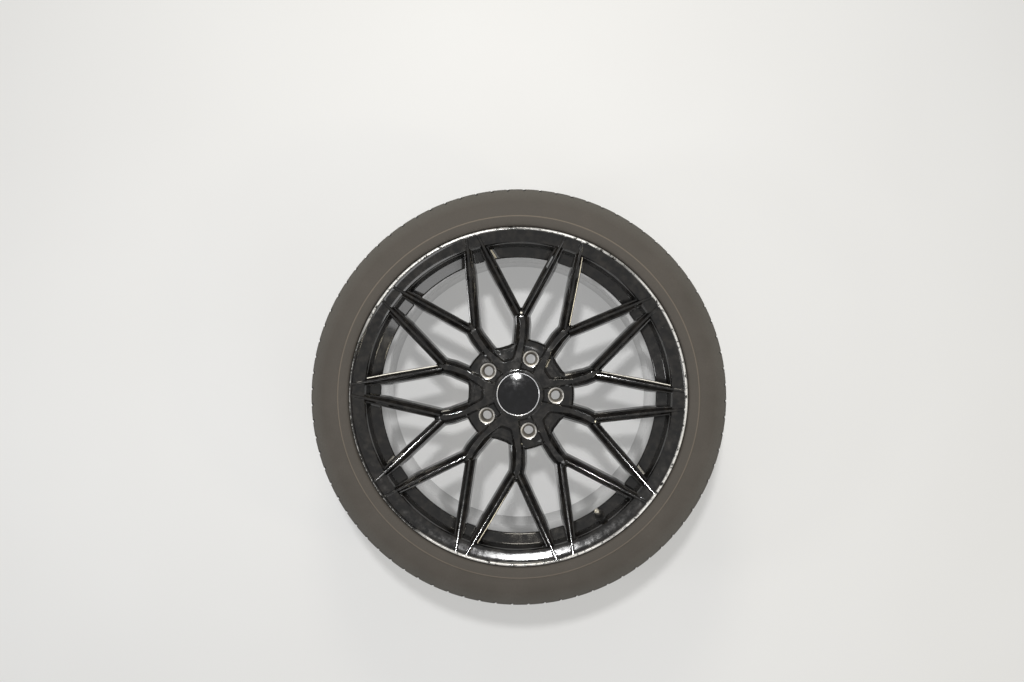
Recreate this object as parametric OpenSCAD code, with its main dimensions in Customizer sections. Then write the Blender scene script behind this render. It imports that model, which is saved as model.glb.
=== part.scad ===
/* [Rim] */
// Diameter of the bead seats
bead_d = 482.6; // [457.2:0.1:508]
// Width between the two flanges
rim_w = 215.9; // [190.5:0.1:241.3]
// Distance from the rim's middle plane to the mounting face
wheel_offset = 44; // [38:0.5:50]
// Height of the flanges above the bead seats
flange_h = 17.5; // [16:0.1:18.5]
// Axial thickness of each flange
flange_t = 12.7; // [11:0.1:14]
// Depth of the drop well below the bead seats
well_depth = 17.8; // [17:0.1:19]
// Length of the floor of the drop well
well_len = 56; // [46:1:66]
// Wall of the barrel at the well and behind it
barrel_wall = 6; // [5:0.1:7]
// Lean of the well's front wall and of the valve, from the axis
valve_lean = 27; // [24:0.5:30]

/* [Hub] */
// Diameter of the centring bore
bore_d = 72.6; // [66:0.1:74]
// Diameter of the bolt circle
bolt_circle_d = 120; // [118:0.1:122]
// Diameter of the bolt holes
bolt_hole_d = 15; // [14:0.1:15.6]
// Large diameter of the bolt seats' cones
seat_d = 21; // [20:0.1:22]
// Outer diameter of the bare ring round each bolt seat
seat_ring_d = 25.4; // [24.6:0.1:26]
// Full angle of the bolt seats' cones
seat_angle = 60; // [55:1:65]
// Diameter of the hub disc, where the petals between the Y pairs end
hub_d = 178; // [174:1:182]
// Diameter of the flat mounting face
pad_d = 150; // [144:1:156]
// Height of the hub's raised land above the mounting face
land_z = 40; // [38:0.5:42]
// Drop from the raised land to the pockets that hold the bolt seats
land_step = 7; // [6:0.5:8]
// Rise of the ring round the cap above the land
ring_rise = 0.8; // [0.5:0.1:1.2]

/* [Spokes] */
// Number of bolt holes and of Y spoke pairs
pairs = 5; // [5:1:5]
// Depth of the dish, from the lip to the top of the ribs at the lip
rib_sink = 0.4; // [0.2:0.1:1]
// Radius at which a stem splits into two arms
split_r = 127; // [124:1:130]
// Angle from the bolt hole to the wide arm, where it leaves the stem
wide_arm_root = 15.9; // [15:0.1:16.5]
// Angle from the bolt hole to the wide arm at the lip
wide_arm_tip = 2.94; // [2.5:0.01:3.4]
// Angle from the gap between the holes to the narrow arm at its root
narrow_arm_root = 16.75; // [16:0.05:17.4]
// Angle from the gap between the holes to the narrow arm at the lip
narrow_arm_tip = 1.85; // [1.6:0.05:2.2]
// Width of the flat top of each arm's rib
rib_top_w = 2.8; // [2:0.1:4]
// Height of the ribs above their ledges, by the hub
rib_h = 8; // [6:0.5:9]
// Radius at which the openings inside the Y spokes start
crotch_r = 147; // [144:0.5:150]

/* [Tyre] */
// Outer diameter of the tyre
tyre_d = 652; // [640:1:660]
// Width of the tyre across its sidewalls
tyre_w = 248; // [240:1:256]
// Width of the tread
tread_w = 218; // [210:1:224]
// Thickness of the tread over the cavity
tread_t = 15; // [12:0.5:17]
// Thickness of the sidewalls
sidewall_t = 9; // [7:0.5:11]
// Depth of the worn tread grooves
groove_depth = 5; // [2:0.5:7]
// Width of the tread grooves
groove_w = 9; // [6:0.5:11]
// Notches round each shoulder
notches = 80; // [60:10:80]

/* [Centre cap] */
// Diameter of the cap
cap_d = 69; // [67:0.1:70.4]
// Radial gap between the cap and its seat
cap_gap = 0.3; // [0.2:0.05:0.5]
// Thickness of the cap's plate
cap_t = 2.2; // [1.8:0.1:2.8]
// Rise of the blank domed disc
dome_rise = 2.6; // [1.5:0.1:3.5]
// Width of the silver trim ring
trim_w = 1.8; // [1.4:0.1:2.4]
// Number of clip legs
legs = 6; // [5:1:8]
// Wire of the ring that spreads the clip legs
wire_d = 1.8; // [1.4:0.1:2]

/* [Valve] */
// Diameter of the valve hole
valve_hole_d = 11.3; // [11.1:0.1:11.5]
// Angle of the valve from the first bolt hole
valve_angle = -54; // [-56:0.5:-52]
// Wall left under the valve's seats
valve_wall = 4; // [3.5:0.1:4.5]
// Diameter of the face cut for the valve
valve_face_d = 20; // [18:0.1:21]
// Height of the rubber above its seat
valve_rubber_h = 20; // [16:0.5:24]
// Diameter of the metal mouth
mouth_d = 7.7; // [7.5:0.1:7.9]
// Length of the metal mouth beyond the rubber
mouth_len = 9; // [8:0.5:10]
// Travel of the valve core's pin
pin_travel = 1.2; // [0.8:0.1:1.6]
// Radial running gap of the pin
pin_gap = 0.08; // [0.05:0.01:0.1]

/* [Hidden] */
$fn = 96;

paint = "#1c1c1e";
rubber = "#5f5850";
pitch = 360 / pairs;
half_pitch = pitch / 2;

// Stations along the axis
lip_z = rim_w / 2 + flange_t - wheel_offset;
rear_z = -rim_w / 2 - flange_t - wheel_offset;
mid_z = -wheel_offset;

// Radii of the rim
bead_r = bead_d / 2;
flange_r = bead_r + flange_h;
well_r = bead_r - well_depth;
barrel_r = well_r - barrel_wall;
seat_drop = 1.6;
seat_len = 20;
hump_r = bead_r - 0.4;
rear_barrel_r = bead_r - 13;

// The well's front wall, which carries the valve
well_top_z = lip_z - 36;
well_wall_top_r = bead_r - barrel_wall - 1;
well_floor_z = well_top_z - (well_wall_top_r - barrel_r) * tan(valve_lean);
wall_shift = barrel_wall / cos(valve_lean);
valve_r = (well_wall_top_r + barrel_r) / 2 + 1.4;
valve_z = well_top_z - (well_wall_top_r - valve_r) * tan(valve_lean);
face_cut = (barrel_wall - valve_wall) / 2;

// Hub
hub_r = hub_d / 2;
pad_r = pad_d / 2;
shelf_z = land_z - land_step;
cap_r = cap_d / 2;
seat_r = cap_r + cap_gap;
seat_z = shelf_z;
neck_r = cap_r - 3.5;
neck_z = seat_z - 7;
leg_r = neck_r - 0.3;
leg_angle = 24;
// Relief round the cap's clips, behind the centring bore
relief_z = neck_z - 6;
relief_r = bore_d / 2 + 1.5;
trim_z = seat_z + cap_t;

// Tyre
tyre_r = tyre_d / 2;
bead_w = 17;

// Valve, with z from the well's wall
insert_r = 3;
mouth_r = mouth_d / 2;
mouth_z = valve_rubber_h + mouth_len;
core_r = 2.65;
core_barrel_r = 2;
core_top_z = mouth_z - 2;
core_seat_z = core_top_z - 4;
core_end_z = core_top_z - 13;
chamber_r = 1.5;
chamber_top_z = core_seat_z - 1;
pin_r = 0.6;
collar_z = chamber_top_z - 1;

function polar(r, a) = [r * cos(a), r * sin(a)];

// Front of the dish: the top of the ribs climbs in a hollow curve to the lip
dish_slope = 0.08;
arm_end_r = flange_r - 3;
dish_len = arm_end_r - hub_r;
dish_bow = lip_z - rib_sink - land_z - dish_slope * dish_len;
wall_slope = 3.6;
function rib_z(r) =
    let (s = max(r - hub_r, 0))
    land_z + dish_slope * s + dish_bow * pow(s / dish_len, 2);
function tip(r) = max(0, min(1, (r - 205) / 50));
function ledge_z(r) = rib_z(r) - rib_h + 2.5 * (r - hub_r) / dish_len;
function widest_z(r) = ledge_z(r) - 12;
function back_z(r) = 6 + 0.2 * (r - hub_r);

// A loft through sections that all have the same number of points
module loft(sections) {
    n = len(sections[0]);
    m = len(sections);
    faces = concat(
        [[for (i = [0:n - 1]) i]],
        [for (j = [0:m - 2], i = [0:n - 1])
            let (a = j * n + i, b = j * n + (i + 1) % n) [a, a + n, b + n]],
        [for (j = [0:m - 2], i = [0:n - 1])
            let (a = j * n + i, b = j * n + (i + 1) % n) [a, b + n, b]],
        [[for (i = [n - 1:-1:0]) (m - 1) * n + i]]);
    polyhedron([for (s = sections) each s], faces);
}

// Section of a spoke at p: half widths on its two sides, along the normal, and how far its top is lowered
function spoke_section(p, normal, left, right, drop = 0) =
    let (r = norm(p),
         z = [rib_z(r) - drop, ledge_z(r), ledge_z(r) - 1, widest_z(r), back_z(r)],
         at = function (w, h) [p[0] + w * normal[0], p[1] + w * normal[1], h])
    [for (i = [0:4]) at(left[i], z[i]), for (i = [4:-1:0]) at(-right[i], z[i])];

// An arm of a Y: it rises out of the stem, runs straight to the lip and thins as it meets the rim
module arm(root, end, side) {
    way = (end - root) / norm(end - root);
    normal = side * [-way[1], way[0]];
    half_top = rib_top_w / 2;
    sections = [for (t = [0, 0.1, 0.32, 0.55, 0.78, 1])
        let (p = root + t * (end - root),
             k = tip(norm(p)),
             full = t == 0 ? 0.72 : 1,
             petal = [half_top, half_top + 5.4 - 3 * k, half_top + 7.4 - 4 * k,
                      half_top + 9.8 - 5 * k, half_top + 7 - 3 * k],
             inner = [half_top, half_top + 3.5 - 1.3 * k, half_top + 5.8 - 1.6 * k,
                      half_top + 6.8 - 1.6 * k, half_top + 5 - 1.4 * k])
        spoke_section(p, normal, full * petal, full * inner, t == 0 ? 1.2 : 0)];
    loft(side < 0 ? sections : [for (s = sections) [for (i = [9:-1:0]) s[i]]]);
}

// The stem of a Y, from inside the hub to the crotch. A station holds its radius, the angles of
// its edge and top on the bolt hole's side, those of its top and edge on the other side, and how
// far the top is lowered
module stem() {
    stations = [
        [hub_r - 12, 12, 15.2, 17.6, 23.5, 0.8],
        [hub_r, 9.4, 13.2, 17.7, 23.9, 0.35],
        [hub_r + 21, 10.4, 13.9, 18, 22.1, 0],
        [split_r, 11.6, 15.2, 19.6, 22.3, 0.2],
        [crotch_r - 8, 14.4, 16, 19, 20.6, 3],
        [crotch_r, 16, 16.8, 18.1, 19, rib_h]
    ];
    mid = 17.5;
    normal = polar(1, mid - 90);
    sections = [for (s = stations)
        let (r = s[0],
             edge_a = r * sin(mid - s[1]),
             top_a = r * sin(mid - s[2]),
             top_b = r * sin(s[3] - mid),
             edge_b = r * sin(s[4] - mid))
        spoke_section(polar(r, mid), normal,
            [top_a, max(top_a, edge_a - 2.4), edge_a, edge_a + wall_slope, edge_a],
            [top_b, max(top_b, edge_b - 2.4), edge_b, edge_b + wall_slope, edge_b], s[5])];
    loft(sections);
}

module half_sector() {
    arm(polar(split_r, wide_arm_root), polar(arm_end_r, wide_arm_tip), -1);
    arm(polar(split_r, half_pitch - narrow_arm_root), polar(arm_end_r, half_pitch - narrow_arm_tip), 1);
    stem();
}

module spokes() {
    for (k = [0:pairs - 1], m = [0, 1])
        rotate(k * pitch)
            mirror([0, m, 0])
                half_sector();
}

function mirrored(half) = concat([for (p = half) [p[0], -p[1]]], [for (i = [len(half) - 1:-1:0]) half[i]]);

// The raised land that joins two Ys round the inner end of the petal between them
module land() {
    sunk = 3;
    translate([0, 0, shelf_z - sunk])
        linear_extrude(land_step + sunk)
            polygon(mirrored([[32, 12.4], [81.2, 34], [85.3, 26.8], [62.6, 12.4], [58, 9.4], [56.4, 6.3]]));
}

// The inner end of a petal between two lands, narrowest at mid height
module petal_end() {
    edge = [[74.3, 9], [76.3, 13.2], [80.5, 15.7], [86.8, 18.7], [110, 26.4]];
    middle = [[82, 6.5], [84, 10.8], [87, 13.2], [90, 14.9], [110, 21.6]];
    shelf = [[68.9, 9.4], [71, 13.8], [76, 17.4], [83, 20.8], [110, 30]];
    outlines = [[edge, -1], [middle, widest_z(hub_r)], [edge, shelf_z - 2.6], [shelf, shelf_z - 2.2],
                [shelf, shelf_z + 2]];
    loft([for (o = outlines) [for (p = mirrored(o[0])) [p[0], p[1], o[1]]]]);
}

module hub_disc() {
    rotate_extrude()
        polygon([
            [0, 0], [pad_r, 0], [pad_r + 2, 2], [hub_r - 2, 7], [hub_r + 3, widest_z(hub_r)],
            [hub_r, shelf_z - 6], [hub_r - 4, shelf_z - 5.4], [hub_r - 5.5, shelf_z - 2.6],
            [hub_r - 8.5, shelf_z - 2.4], [hub_r - 10, shelf_z], [0, shelf_z]
        ]);
}

module cap_ring_land() {
    rotate_extrude()
        polygon([[0, shelf_z - 3], [seat_r + 7, shelf_z - 3], [seat_r + 7, shelf_z], [seat_r + 5, land_z - 2],
                 [seat_r + 3.6, land_z + ring_rise], [0, land_z + ring_rise]]);
}

module hub() {
    difference() {
        union() {
            hub_disc();
            cap_ring_land();
            for (k = [0:pairs - 1]) rotate((k + 0.5) * pitch) land();
        }
        for (k = [0:pairs - 1]) rotate((k + 0.5) * pitch) petal_end();
    }
}

// A bolt hole: socket room, bare ring, cone and bore
module bolt_seat() {
    ring_z = shelf_z - 1.2;
    cone_z = ring_z - 1;
    cone_h = (seat_d - bolt_hole_d) / 2 / tan(seat_angle / 2);
    translate([0, 0, ring_z]) cylinder(h = land_z, d = seat_ring_d + 3);
    translate([0, 0, cone_z]) cylinder(h = 1, d1 = seat_d, d2 = seat_ring_d);
    translate([0, 0, cone_z - cone_h]) cylinder(h = cone_h, d1 = bolt_hole_d, d2 = seat_d);
    translate([0, 0, -1]) cylinder(h = land_z, d = bolt_hole_d);
}

module hub_bores() {
    translate([0, 0, -1]) cylinder(h = relief_z + 2, d = bore_d);
    translate([0, 0, relief_z]) cylinder(h = neck_z - relief_z, r = relief_r);
    cylinder(h = land_z + 1, r = neck_r);
    translate([0, 0, seat_z]) cylinder(h = land_z, r = seat_r);
    translate([0, 0, -1]) cylinder(h = 3, d1 = bore_d + 6, d2 = bore_d);
    for (k = [0:pairs - 1]) {
        rotate(k * pitch) translate([bolt_circle_d / 2, 0, 0]) bolt_seat();
        rotate((k + 0.5) * pitch) translate([bolt_circle_d / 2 - 1, 0, -1]) cylinder(h = 13, d = 22);
    }
}

// Puts its children on the valve's axis, with z = 0 on the well's wall
module on_valve_axis() {
    rotate(valve_angle)
        translate([valve_r, 0, valve_z])
            rotate([0, -valve_lean, 0])
                children();
}

module valve_seats() {
    translate([0, 0, -barrel_wall - 2]) cylinder(h = barrel_wall + 4, d = valve_hole_d);
    translate([0, 0, -face_cut]) cylinder(h = 14, d = valve_face_d);
    translate([0, 0, face_cut - barrel_wall - 14]) cylinder(h = 14, d = valve_face_d);
}

module rim() {
    rotate_extrude()
        polygon([
            [flange_r - 2.2, lip_z], [flange_r, lip_z - 2.4], [flange_r, lip_z - 8.5],
            [flange_r - 4, lip_z - 12], [bead_r + 1, lip_z - flange_t - 1], [bead_r + 1, well_top_z - 1.85],
            [well_r, well_floor_z - wall_shift + 1.6], [well_r, well_floor_z - wall_shift - well_len],
            [bead_r - 7, rear_z + 84], [bead_r - 4, rear_z + 40],
            [hump_r, rear_z + 37], [hump_r, rear_z + 35],
            [bead_r - seat_drop, rear_z + flange_t + seat_len],
            [bead_r, rear_z + flange_t], [flange_r - 8, rear_z + flange_t],
            [flange_r - 3, rear_z + 10.4], [flange_r, rear_z + 6.5], [flange_r, rear_z + 2.4],
            [flange_r - 2.2, rear_z], [flange_r - 8, rear_z], [rear_barrel_r, rear_z + 12],
            [rear_barrel_r - 1, rear_z + 90],
            [barrel_r, well_floor_z - well_len], [barrel_r, well_floor_z],
            [well_wall_top_r, well_top_z], [well_wall_top_r + 1, lip_z - 14],
            [bead_r - 4, lip_z - 10], [bead_r + 0.5, lip_z - 7.4], [flange_r - 10, lip_z - 5.6],
            [flange_r - 4.3, lip_z - 2.8], [flange_r - 3.4, lip_z]
        ]);
}

// Room for the tyre's front bead, turned after casting: flange, seat and hump
module bead_room() {
    rotate_extrude()
        polygon([
            [flange_r + 1, lip_z - 5.2], [flange_r, lip_z - 6.5], [flange_r - 3, lip_z - 10.4],
            [flange_r - 8, lip_z - flange_t], [bead_r, lip_z - flange_t],
            [bead_r - seat_drop, lip_z - flange_t - seat_len],
            [hump_r, lip_z - 35], [hump_r, lip_z - 37], [hump_r - 4, lip_z - 43],
            [hump_r - 4, lip_z - 48], [flange_r + 1, lip_z - 48]
        ]);
}

module wheel() {
    color(paint)
        difference() {
            union() {
                rim();
                spokes();
                hub();
            }
            bead_room();
            hub_bores();
            on_valve_axis() valve_seats();
        }
}

// Half of the tyre's outer line, from the bead's heel to the crown, with z from the middle plane
function tyre_outer() = [
    [bead_r, rim_w / 2], [flange_r - 8, rim_w / 2], [flange_r - 1.4, rim_w / 2 + 0.6],
    [flange_r + 0.8, rim_w / 2 + 3.2], [flange_r + 1, rim_w / 2 + 9],
    [flange_r + 4, tyre_w / 2 - 2], [flange_r + 9, tyre_w / 2 - 0.5], [flange_r + 15, tyre_w / 2],
    [flange_r + 17, tyre_w / 2 - 0.2], [flange_r + 18.5, tyre_w / 2 - 1.4],
    [tyre_r - 36, tyre_w / 2 - 2], [tyre_r - 22, tyre_w / 2 - 5], [tyre_r - 12, tread_w / 2 + 5],
    [tyre_r - 7, tread_w / 2 + 2], [tyre_r - 4.6, tread_w / 2 - 3], [tyre_r - 2.4, tread_w / 2 - 22],
    [tyre_r - 0.6, tread_w / 4], [tyre_r, 10]
];

// Half of its inner line, from the crown to the bead's toe
function tyre_inner() = [
    [tyre_r - tread_t, 10], [tyre_r - tread_t - 1, tread_w / 4],
    [tyre_r - tread_t - 5, tread_w / 2 - 14], [tyre_r - tread_t - 14, tyre_w / 2 - sidewall_t - 7],
    [tyre_r - 42, tyre_w / 2 - sidewall_t], [flange_r + 8, tyre_w / 2 - sidewall_t - 6],
    [flange_r - 2, rim_w / 2 - 9], [bead_r + 9, rim_w / 2 - bead_w + 1],
    [bead_r - seat_drop * bead_w / seat_len, rim_w / 2 - bead_w]
];

module tyre_grooves() {
    for (z = [-54, -18, 18, 54])
        translate([0, 0, z - groove_w / 2])
            difference() {
                cylinder(h = groove_w, r = tyre_r + 1);
                translate([0, 0, -1]) cylinder(h = groove_w + 2, r = tyre_r - 1 - groove_depth);
            }
}

module shoulder_notches() {
    for (k = [0:notches - 1], m = [0, 1])
        rotate((k + m / 2) * 360 / notches)
            mirror([0, 0, m])
                translate([tyre_r - 4, 0, tread_w / 2])
                    rotate([18, 30, 0])
                        cube([9, 3.4, 26], center = true);
}

module tyre() {
    color(rubber)
        translate([0, 0, mid_z])
            difference() {
                rotate_extrude()
                    polygon(concat(
                        tyre_outer(),
                        [for (i = [len(tyre_outer()) - 1:-1:0]) [tyre_outer()[i][0], -tyre_outer()[i][1]]],
                        [for (i = [len(tyre_inner()) - 1:-1:0]) [tyre_inner()[i][0], -tyre_inner()[i][1]]],
                        tyre_inner()));
                tyre_grooves();
                shoulder_notches();
            }
}

module cap_leg() {
    rotate([0, 0, -leg_angle / 2])
        rotate_extrude(angle = leg_angle)
            polygon([[leg_r - 1.6, neck_z - 5], [leg_r + 0.2, neck_z - 5], [neck_r + 1.2, neck_z - 2.4],
                     [neck_r + 1.2, neck_z - 0.8], [leg_r, neck_z - 0.3], [leg_r, seat_z],
                     [leg_r - 1.6, seat_z]]);
}

module centre_cap() {
    color("#232325") {
        rotate_extrude()
            polygon([[0, seat_z], [cap_r, seat_z], [cap_r, seat_z + cap_t], [0, seat_z + cap_t]]);
        for (k = [0:legs - 1]) rotate(k * 360 / legs) cap_leg();
    }
}

module cap_trim_ring() {
    color("silver")
        rotate_extrude()
            polygon([[cap_r - trim_w, trim_z], [cap_r - 0.2, trim_z], [cap_r - 0.2, trim_z + 0.7],
                     [cap_r - 0.9, trim_z + 1.3], [cap_r - trim_w, trim_z + 0.9]]);
}

module cap_disc() {
    disc_r = cap_r - trim_w;
    dome_r = (pow(disc_r, 2) + pow(dome_rise, 2)) / (2 * dome_rise);
    color("#26262a")
        translate([0, 0, trim_z])
            intersection() {
                cylinder(h = dome_rise + 2, r = disc_r);
                translate([0, 0, dome_rise + 0.6 - dome_r]) sphere(r = dome_r, $fn = 256);
            }
}

module cap_spring_ring() {
    color("silver")
        translate([0, 0, neck_z - 3])
            rotate(8)
                rotate_extrude(angle = 344)
                    translate([leg_r - 1.6 - wire_d / 2 - 0.05, 0]) circle(d = wire_d, $fn = 24);
}

module valve_rubber() {
    top = valve_rubber_h;
    color("#28282a")
        on_valve_axis()
            rotate_extrude()
                polygon([
                    [insert_r, -barrel_wall - 8], [insert_r + 1.6, -barrel_wall - 7],
                    [valve_face_d / 2 - 2.4, -barrel_wall - 1.6],
                    [valve_face_d / 2 - 1.4, face_cut - barrel_wall],
                    [valve_hole_d / 2, face_cut - barrel_wall], [valve_hole_d / 2, -face_cut],
                    [valve_face_d / 2 - 2, -face_cut], [valve_face_d / 2 - 2, 1.4],
                    [valve_hole_d / 2, 4], [valve_hole_d / 2 - 0.6, top - 2],
                    [valve_hole_d / 2 - 1.2, top], [insert_r, top]
                ]);
}

module valve_stem() {
    color("#b9b2a2")
        on_valve_axis()
            rotate_extrude()
                polygon([
                    [1.2, -barrel_wall - 8], [insert_r, -barrel_wall - 8], [insert_r, valve_rubber_h],
                    [mouth_r, valve_rubber_h], [mouth_r, mouth_z - 0.6], [mouth_r - 0.6, mouth_z],
                    [core_r, mouth_z], [core_r, core_seat_z], [core_barrel_r, core_seat_z],
                    [core_barrel_r, core_end_z - 6], [1.2, core_end_z - 7.5]
                ]);
}

module valve_core() {
    color("#cdb36a")
        on_valve_axis()
            rotate_extrude()
                polygon([
                    [pin_r + pin_gap, core_end_z], [core_barrel_r, core_end_z],
                    [core_barrel_r, core_seat_z], [core_r, core_seat_z], [core_r, core_top_z],
                    [pin_r + pin_gap, core_top_z], [pin_r + pin_gap, chamber_top_z],
                    [chamber_r, chamber_top_z], [chamber_r, core_end_z + 1],
                    [pin_r + pin_gap, core_end_z + 1]
                ]);
}

module valve_core_pin() {
    color("#d8d4c8")
        on_valve_axis()
            rotate_extrude()
                polygon([
                    [0, core_end_z - 2], [core_barrel_r - 0.3, core_end_z - 2],
                    [core_barrel_r - 0.3, core_end_z - 0.02], [pin_r, core_end_z - 0.02],
                    [pin_r, collar_z], [chamber_r - 0.15, collar_z], [chamber_r - 0.15, collar_z + 0.8],
                    [pin_r, collar_z + 0.8], [pin_r, core_top_z + pin_travel + 0.2],
                    [0, core_top_z + pin_travel + 0.2]
                ]);
}

// The coil that holds the pin out: rings of points swept along a helix
module valve_core_spring() {
    wire = 0.13;
    turns = 4;
    steps = 12;
    sides = 6;
    coil_r = (pin_r + chamber_r) / 2;
    low = core_end_z + 1 + wire;
    rise = collar_z - wire - low;
    rings = [for (i = [0:turns * steps])
        let (a = i * 360 / steps, z = low + rise * i / (turns * steps))
        [for (j = [0:sides - 1])
            let (b = -j * 360 / sides)
            [(coil_r + wire * cos(b)) * cos(a), (coil_r + wire * cos(b)) * sin(a), z + wire * sin(b)]]];
    color("silver")
        on_valve_axis()
            loft(rings);
}

wheel();
tyre();
centre_cap();
cap_trim_ring();
cap_disc();
cap_spring_ring();
valve_rubber();
valve_stem();
valve_core();
valve_core_pin();
valve_core_spring();
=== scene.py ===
import math

import bmesh
import bpy
from bpy.props import FloatProperty, FloatVectorProperty, IntProperty, PointerProperty
from mathutils import Matrix, Vector


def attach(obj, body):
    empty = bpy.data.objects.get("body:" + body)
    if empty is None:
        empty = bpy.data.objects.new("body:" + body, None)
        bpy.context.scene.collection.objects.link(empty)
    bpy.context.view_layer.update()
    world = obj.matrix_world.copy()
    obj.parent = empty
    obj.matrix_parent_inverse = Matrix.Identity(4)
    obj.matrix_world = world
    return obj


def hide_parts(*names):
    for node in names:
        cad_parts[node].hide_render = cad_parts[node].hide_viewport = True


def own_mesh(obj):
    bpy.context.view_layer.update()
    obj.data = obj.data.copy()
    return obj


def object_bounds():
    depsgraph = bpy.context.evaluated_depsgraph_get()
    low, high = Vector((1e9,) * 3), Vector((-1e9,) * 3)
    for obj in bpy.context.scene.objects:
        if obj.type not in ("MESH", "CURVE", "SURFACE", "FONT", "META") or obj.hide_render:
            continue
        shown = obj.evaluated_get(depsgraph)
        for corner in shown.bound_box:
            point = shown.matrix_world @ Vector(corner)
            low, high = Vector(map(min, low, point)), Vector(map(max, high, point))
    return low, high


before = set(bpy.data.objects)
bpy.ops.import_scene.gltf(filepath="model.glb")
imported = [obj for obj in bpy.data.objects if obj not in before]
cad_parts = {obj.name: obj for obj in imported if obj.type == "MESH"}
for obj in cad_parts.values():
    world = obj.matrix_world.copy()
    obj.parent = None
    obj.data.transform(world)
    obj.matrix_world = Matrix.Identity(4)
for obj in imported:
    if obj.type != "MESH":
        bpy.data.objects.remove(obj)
CAD_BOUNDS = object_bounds()

bl_info = {
    "name": "Alloy wheel",
    "version": (1, 0, 0),
    "blender": (4, 5, 0),
    "location": "View3D > Sidebar > Wheel",
    "description": "Models a cast Y-spoke wheel with its tyre, cap and valve",
    "category": "Object",
}

ROOT = "wheel_assembly"
PAIRS = 5
PITCH = 360 / PAIRS
FULL_TURN = 2 * math.pi
MM = 0.001

# The rim, in millimetres. Heights start at the hub's mounting face, and the street side is up.
RIM_WIDTH = 215.9
OFFSET = 44.0
FLANGE_T = 12.7
BEAD_R = 241.3
FLANGE_R = BEAD_R + 17.5
WALL = 6.0
MID_Z = -OFFSET
LIP_Z = MID_Z + RIM_WIDTH / 2 + FLANGE_T
REAR_Z = MID_Z - RIM_WIDTH / 2 - FLANGE_T

# The drop well, whose upper wall leans by this many degrees
WALL_LEAN = 27.0
WELL_R = BEAD_R - 17.8
BARREL_R = WELL_R - WALL
WELL_WALL_R = BEAD_R - WALL - 1
WELL_TOP_Z = LIP_Z - 36
WELL_FLOOR_Z = WELL_TOP_Z - (WELL_WALL_R - BARREL_R) * math.tan(math.radians(WALL_LEAN))

# The hub, its bores and its bolt holes
HUB_R = 89.0
SHELF_Z = 33.0
LAND_Z = 40.0
BORE_R = 36.3
SEAT_R = 34.8
NECK_R = 31.0
NECK_Z = 26.0
RELIEF_R = BORE_R + 1.5
RELIEF_Z = NECK_Z - 6
BOLT_CIRCLE_R = 60.0
HOLE_R = 7.5
CONE_R = 10.5
RING_R = 12.7
SOCKET_R = 14.2

# The spokes: a stem splits into two arms, which rise in a hollow curve and end in the lip
SPLIT_R = 127.0
ARM_END_R = FLANGE_R - 1.8
RIB_H = 8.0
LEDGE_EDGE_H = 0.6
PETAL_WALL_H = 12.0
DISH_LEN = ARM_END_R - HUB_R
DISH_SLOPE = 0.08
DISH_BOW = LIP_Z - 0.4 - LAND_Z - DISH_SLOPE * DISH_LEN

# The radius that the tyre's worn tread is measured down from
TYRE_R = 324.8

# The valve's place, square to the well's upper wall: its own Z runs from the wall's face to its mouth
VALVE_ANGLE = -54.0
VALVE_R = (WELL_WALL_R + BARREL_R) / 2 + 1.4
VALVE_Z = WELL_TOP_Z - (WELL_WALL_R - VALVE_R) * math.tan(math.radians(WALL_LEAN))
VALVE_AXIS = (
    Matrix.Rotation(math.radians(VALVE_ANGLE), 4, "Z")
    @ Matrix.Translation((VALVE_R, 0, VALVE_Z))
    @ Matrix.Rotation(math.radians(-WALL_LEAN), 4, "Y")
)


# Settings


def linear(code, alpha=1.0):
    """An sRGB hex value as linear RGBA."""
    parts = [int(code[i : i + 2], 16) / 255 for i in (1, 3, 5)]
    return [c / 12.92 if c <= 0.04045 else ((c + 0.055) / 1.055) ** 2.4 for c in parts] + [alpha]


def length(name, text, default, low, high):
    """A size in millimetres that the user may change, kept in Blender's metres."""
    return FloatProperty(
        name=name,
        description=text,
        default=default * MM,
        min=low * MM,
        max=high * MM,
        subtype="DISTANCE",
        unit="LENGTH",
    )


def in_millimetres(size):
    """A size from the settings, back in millimetres."""
    return size / MM


def colour(name, text, code):
    """A colour that the user may change."""
    return FloatVectorProperty(
        name=name, description=text, default=linear(code), size=4, min=0, max=1, subtype="COLOR"
    )


class WheelSettings(bpy.types.PropertyGroup):
    """Sizes and finish of the casting"""

    rib_top: length("Rib top", "Width of the flat top of an arm's rib", 2.8, 1.5, 4)
    edge_round: length("Edge rounding", "Rounding of the casting's edges", 0.8, 0.2, 1.5)
    arm_steps: IntProperty(
        name="Arm steps", description="Sections along each arm", default=20, min=6, max=40
    )
    turn_steps: IntProperty(
        name="Turn steps", description="Faces round the rim", default=240, min=96, max=360
    )
    paint: colour("Paint", "Colour of the gloss paint", "#0b0a0a")
    bare_metal: colour("Bare metal", "Colour of rubbed aluminium", "#e4e2de")


class TyreSettings(bpy.types.PropertyGroup):
    """Sizes and finish of the tyre"""

    notches: IntProperty(
        name="Notches", description="Notches round each shoulder", default=80, min=60, max=80
    )
    groove_depth: length("Groove depth", "Depth of the worn grooves", 5, 2, 7)
    rubber: colour("Rubber", "Colour of the dusty rubber", "#47423c")
    dust: colour("Dust", "Colour of the dust on it", "#5a5550")


class StageSettings(bpy.types.PropertyGroup):
    """Floor and light"""

    floor: colour("Floor", "Colour of the floor", "#ebebea")
    key_power: FloatProperty(
        name="Key power",
        description="Power of the key lamp",
        default=18,
        min=1,
        max=100,
        subtype="POWER",
        unit="POWER",
    )


# Materials


def add(tree, kind, inputs=None, output=0, **settings):
    """Adds a node and gives one of its outputs. Each input takes a value or another node's output, and
    the settings are the node's own properties."""
    made = tree.nodes.new("ShaderNode" + kind)
    for name, value in settings.items():
        setattr(made, name, value)
    for name, value in (inputs or {}).items():
        if isinstance(value, bpy.types.NodeSocket):
            tree.links.new(value, made.inputs[name])
        else:
            made.inputs[name].default_value = value
    return made.outputs[output]


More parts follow.
